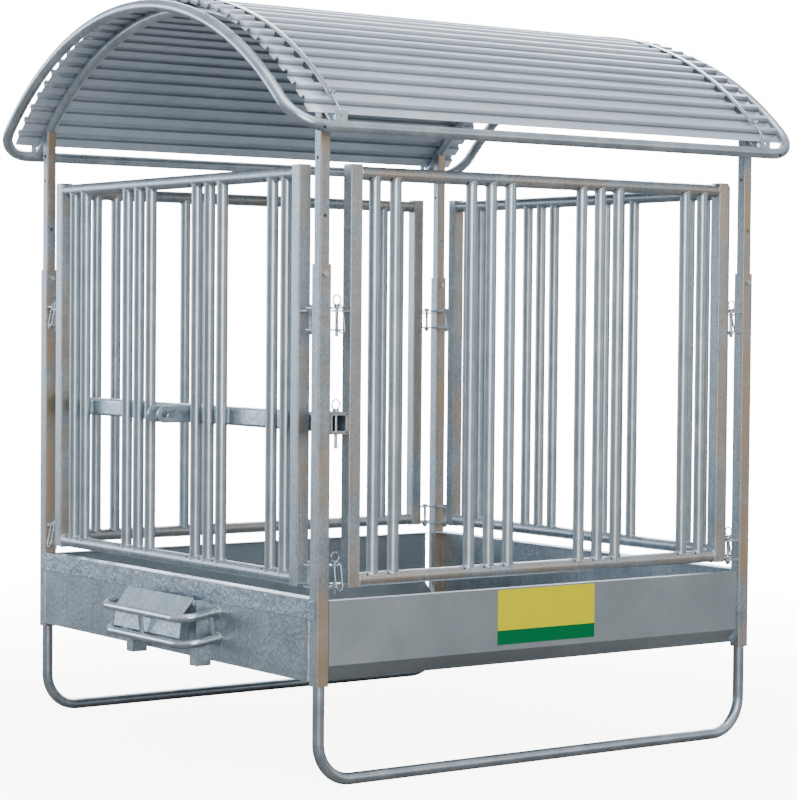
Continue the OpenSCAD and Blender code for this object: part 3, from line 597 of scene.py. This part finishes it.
def mottled(name, dark, light, scale, detail, rough):
    """A plain dull finish between two tones, picked by noise."""
    mat, tree, out = blank(name)
    place = add(tree, "ShaderNodeTexCoord")
    tone_noise = add(tree, "ShaderNodeTexNoise", {"Vector": place.outputs["Object"], "Scale": scale,
                                            "Detail": detail})
    shade = add(tree, "ShaderNodeMix", {0: tone_noise.outputs[0], 6: linear(dark), 7: linear(light)},
                data_type="RGBA")
    dull = add(tree, "ShaderNodeBsdfPrincipled", {"Base Color": shade.outputs[2], "Roughness": rough})
    tree.links.new(dull.outputs[0], out.inputs["Surface"])
    return mat


# Painted shade for the insides of the drain holes, and also the dark colour of the roof's tube joints.
hole_shade_and_joint_dark = mottled("painted_hole_shade_and_dark_joint", "#0b0c0d", "#1c1f21", 90.0, 2.0, 0.8)
for quarter, side in enumerate(SIDES):
    body = f"fence_{side}"
    piece(f"bar_welds_{side}", turned(fence_welds(100 * quarter), quarter, post_y), weld_zinc, body)
    piece(f"vent_holes_{side}", turned(vent_holes(), quarter, post_y), hole_shade_and_joint_dark, body)
for side in SIDES:
    dress(stile_zinc, f"fence_{side}_frame")
    dress(bar_zinc, f"fence_{side}_bars")

# ---------------------------------------------------------------- lock pins and bar pins
# Round pins with a pull ring. A bail of spring wire hangs from each lock pin's collar in front of its
# tabs, and a small clip goes through the tail of each bar pin.


def wire_bail(node, lean, wide):
    """An oval of wire that hangs from the pin's collar: its sides are 28 mm apart and closed by half
    circles, and it leans out from 12 mm at the top to 32 mm at the foot."""
    low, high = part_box(node)
    middle = 0.5 * (np.array(low) + high)
    half, drop, wire, collar = 0.014, 0.098, 0.0026, 0.036
    top = high[2] - collar
    t = np.linspace(0, 2 * np.pi, 64, endpoint=False)
    across = half * np.cos(t)
    height = np.where(np.sin(t) > 0, half * np.sin(t), half * np.sin(t) - (drop - 2 * half))
    out = 0.012 + 0.020 * np.clip((half - height) / drop, 0, 1)
    path = middle[:2] + across[:, None] * np.array(wide) + out[:, None] * np.array(lean)
    path = np.column_stack([path, top - half + height])
    return [rod(path, wire, (*lean, 0), closed=True, sides=10)]


def clip(node, lean, wide):
    """A small ring of wire through the pin's tail, 12 mm above its end."""
    low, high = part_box(node)
    middle = 0.5 * (np.array(low) + high)
    hole, aside, radius, wire = 0.012, 0.008, 0.0105, 0.0012
    place = np.array((middle[0], middle[1], low[2] + hole))
    path = circle(place + aside * np.array([*lean, 0]), radius, (*lean, 0), (0, 0, 1), 32)
    return [rod(path, wire, (*wide, 0), closed=True, sides=8)]


outward = {"front": (0, -1), "right": (1, 0), "back": (0, 1), "left": (-1, 0)}
for side in SIDES:
    lean = outward[side]
    wide = (lean[1], lean[0])
    for level in ("upper", "lower"):
        node = f"lock_pin_{side}_{level}"
        dress(bolt_zinc, node)
        piece(f"wire_bail_{side}_{level}", wire_bail(node, lean, wide), bolt_zinc, node)
for side in ("front", "back"):
    dress(bolt_zinc, f"bar_pin_{side}")
    piece(f"pin_clip_{side}", clip(f"bar_pin_{side}", outward[side], (1, 0)), bolt_zinc, f"bar_pin_{side}")

# ---------------------------------------------------------------- roof frame
# Four square posts slide in the corner posts. They carry two arches, two wider gable tubes and two eave
# tubes with bent corners, all of round tube, smooth and bright.
roof_zinc = zinc("galvanised_roof_tube", "#a2abb0", "#bac2c7", "#d3dadd", streak=0.0, spangle=0.05, rough=0.3)
dress(post_zinc, *[f"roof_post_{c}" for c in CORNERS])
dress(roof_zinc, "roof_arch_left", "roof_arch_right", "roof_gable_left", "roof_gable_right",
      "roof_eave_front", "roof_eave_back")

# ---------------------------------------------------------------- roof sheet
# Three ribbed sheets lie lapped over the arches, rolled to their curve, with shade painted into the low
# folds.
# Two straps hold them down over dark blocks in the pans; dark rings mark the joints of the frame, and discs
# of painted shade its drain holes.
sheet_zinc = zinc("rolled_roof_sheet", "#c6d0da", "#cfd8e1", "#d8e0e8", streak=0.0, rough=0.38,
                  spangle_mm=40, spangle=0.05, cloud_mm=300, metal=0.45)


def arch_middle():
    """Height of the arch's centre line: the circle y^2 + z^2 = 2 c z + k through the strap's vertices."""
    y, z = vertices("roof_strap_left")[:, 1:].T
    fit = np.linalg.lstsq(np.stack([2 * z, np.ones_like(z)], axis=1), y * y + z * z, rcond=None)[0]
    return fit[0]


def low_folds(angle, radius):
    """The angles at which the inner outline is within 4 mm of its lowest."""
    corners = np.unique(angle)
    lowest = np.array([radius[angle == a].min() for a in corners])
    return corners[lowest < lowest.min() + 0.004]


def rolled_sheet(node):
    """The sheet's outer and inner outline as radius against angle, averaged over 3 mm of arc so that the
    folds are round, and carried along X with shallow waves between the arches. The second result is the
    painted shade in the low folds: exp(-(d / 2.2 mm)^2) of the distance d to the nearest low fold."""
    places = vertices(node)
    angle = np.degrees(np.arctan2(places[:, 1], places[:, 2] - roof_middle))
    radius = np.hypot(places[:, 1], places[:, 2] - roof_middle)
    grid_step = 0.04
    fine = np.arange(angle.min(), angle.max() + grid_step / 2, grid_step)
    near = np.round(angle, 2)
    outer = [(a, radius[near == a].max()) for a in np.unique(near)]
    inner = [(a, radius[near == a].min()) for a in np.unique(near)]
    width = 2 * int(0.0016 / (radius.mean() * np.radians(grid_step))) + 1
    window = np.hanning(width + 2)[1:-1]
    window /= window.sum()
    smooth = [np.convolve(np.pad(np.interp(fine, *np.array(line).T), width // 2, "edge"), window, "valid")
              for line in (outer, inner)]
    along = np.linspace(places[:, 0].min(), places[:, 0].max(), 33)
    turn = np.radians(fine)
    rows = []
    for r, line in zip(smooth, (along, along[::-1])):
        wave = 0.0001 * (np.cos(9 * line + 5 * turn[:, None]) - 1)
        reach = r[:, None] + wave
        rows.append(np.stack([np.broadcast_to(line, reach.shape), reach * np.sin(turn)[:, None],
                              roof_middle + reach * np.cos(turn)[:, None]], axis=-1))
    # Painted shade in the low folds: darkest at each fold and gone within a few millimetres.
    away = np.abs(fine[:, None] - low_folds(near, radius)).min(axis=1)
    painted_fold_shade = np.exp(-(np.radians(away) * radius.mean() / 0.0022) ** 2)
    grid = np.concatenate(rows, axis=1)
    return shell(grid), np.append(np.repeat(painted_fold_shade, grid.shape[1]), [0, 0])


def paint_fold_shade(mat):
    """Paints shade into a finish by the piece's painted_fold_shade attribute: colour x (1 - 0.72 shade)."""
    tree = mat.node_tree
    steel = next(n for n in tree.nodes if n.type == "BSDF_PRINCIPLED")
    clean = steel.inputs["Base Color"].links[0].from_socket
    painted_fold_shade = add(tree, "ShaderNodeAttribute", attribute_name="painted_fold_shade")
    left = add(tree, "ShaderNodeMath", {0: painted_fold_shade.outputs["Fac"], 1: -0.72, 2: 1.0}, operation="MULTIPLY_ADD")
    shade = add(tree, "ShaderNodeVectorMath", {0: clean, "Scale": left.outputs[0]}, operation="SCALE")
    tree.links.new(shade.outputs[0], steel.inputs["Base Color"])


roof_middle = arch_middle()
# Shade is painted into the low folds of the rolled roof sheets.
paint_fold_shade(sheet_zinc)
for part in ("front", "top", "back"):
    outline, painted_fold_shade = rolled_sheet(f"roof_sheet_{part}")
    rolled = piece(f"rolled_sheet_{part}", [outline], sheet_zinc, "roof")
    rolled.data.attributes.new("painted_fold_shade", "FLOAT", "POINT").data.foreach_set("value", painted_fold_shade)
    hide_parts(f"roof_sheet_{part}")


def pans():
    """Start and end angle of every flat between two ribs: the inner outline's lowest corners, in pairs."""
    narrow, wide = 0.028, 0.034
    spans = []
    for node in ("roof_sheet_front", "roof_sheet_top", "roof_sheet_back"):
        places = vertices(node)
        angle = np.round(np.arctan2(places[:, 1], places[:, 2] - roof_middle), 5)
        radius = np.hypot(places[:, 1], places[:, 2] - roof_middle)
        flat = low_folds(angle, radius)
        spans += [(a, b) for a, b in zip(flat[:-1], flat[1:]) if narrow < b - a < wide]
    return spans


def strap_blocks():
    """Blocks that fill the pans under the straps: each is a ring segment, pan wide and nearly rib high,
    with sides that lean in as the ribs do."""
    strap = vertices("roof_strap_left")
    reach = np.abs(np.arctan2(strap[:, 1], strap[:, 2] - roof_middle)).max()
    gap, thick, half, foot, lean = 0.0003, 0.0176, 0.013, 0.0006, 0.0024
    under = np.hypot(strap[:, 1], strap[:, 2] - roof_middle).min() - gap
    low = under - thick
    shells = []
    for x in (strap[:, 0].mean(), -strap[:, 0].mean()):
        for a, b in pans():
            if max(abs(a), abs(b)) > reach:
                continue
            ends = []
            for side in (-half, half):
                ring = []
                for r, p, q in ((low, a + foot, b - foot), (under, b + lean, a - lean)):
                    for turn in np.linspace(p, q, 6):
                        ring.append((x + side, r * np.sin(turn), roof_middle + r * np.cos(turn)))
                ends.append(ring)
            shells.append(shell(np.array(ends)))
    return shells


def gable_seams():
    """Dark rings where the gable tubes meet the bent corner pieces: circles about the tube's middle line."""
    sunk, wire = 0.0006, 0.0009
    shells = []
    for name in ("roof_gable_left", "roof_gable_right"):
        low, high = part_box(name)
        x = 0.5 * (low[0] + high[0])
        tube = 0.5 * (high[0] - low[0])
        radius = high[2] - tube - roof_middle
        for side in (-1, 1):
            turn = side * np.arcsin((high[1] - tube * np.cos(np.arcsin(high[1] / radius))) / radius)
            middle = np.array([x, radius * np.sin(turn), roof_middle + radius * np.cos(turn)])
            out = np.array([0, np.sin(turn), np.cos(turn)])
            along = np.array([0, np.cos(turn), -np.sin(turn)])
            ring = circle(middle, tube - sunk, (1, 0, 0), out, 40)
            shells.append(rod(ring, wire, along, closed=True, sides=6))
    return shells


def bend_holes():
    """Dark discs of painted shade for the drain holes low on the outside of each eave's bends."""
    tube, from_end, sunk = 0.0212, 0.128, 0.0007
    shells = []
    for node, side in (("roof_eave_front", -1), ("roof_eave_back", 1)):
        low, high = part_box(node)
        middle_y = low[1] + tube if side < 0 else high[1] - tube
        away = np.array([0, side * 0.94, -0.34])
        flat = np.array([0, 0.34, side * 0.94])
        for x in (low[0] + from_end, high[0] - from_end):
            place = np.array([x, middle_y, low[2] + tube]) + (tube - sunk) * away
            shells.append(disc(place, away, flat, 0.0045, 0.0006))
    return shells


# Dark blocks of mottled grey fill the pans under the straps.
block_dark = mottled("dark_strap_block", "#2f363c", "#4c555c", 60.0, 3.0, 0.6)
piece("strap_blocks", strap_blocks(), block_dark, "roof", smooth=False)
piece("gable_seams", gable_seams(), hole_shade_and_joint_dark, "roof")
piece("bend_holes", bend_holes(), hole_shade_and_joint_dark, "roof")
for side in ("left", "right"):
    eased(f"roof_strap_{side}", bolt_zinc, "roof", width=0.0006)
eased("strap_tensioners", bolt_zinc, "roof", width=0.0008)
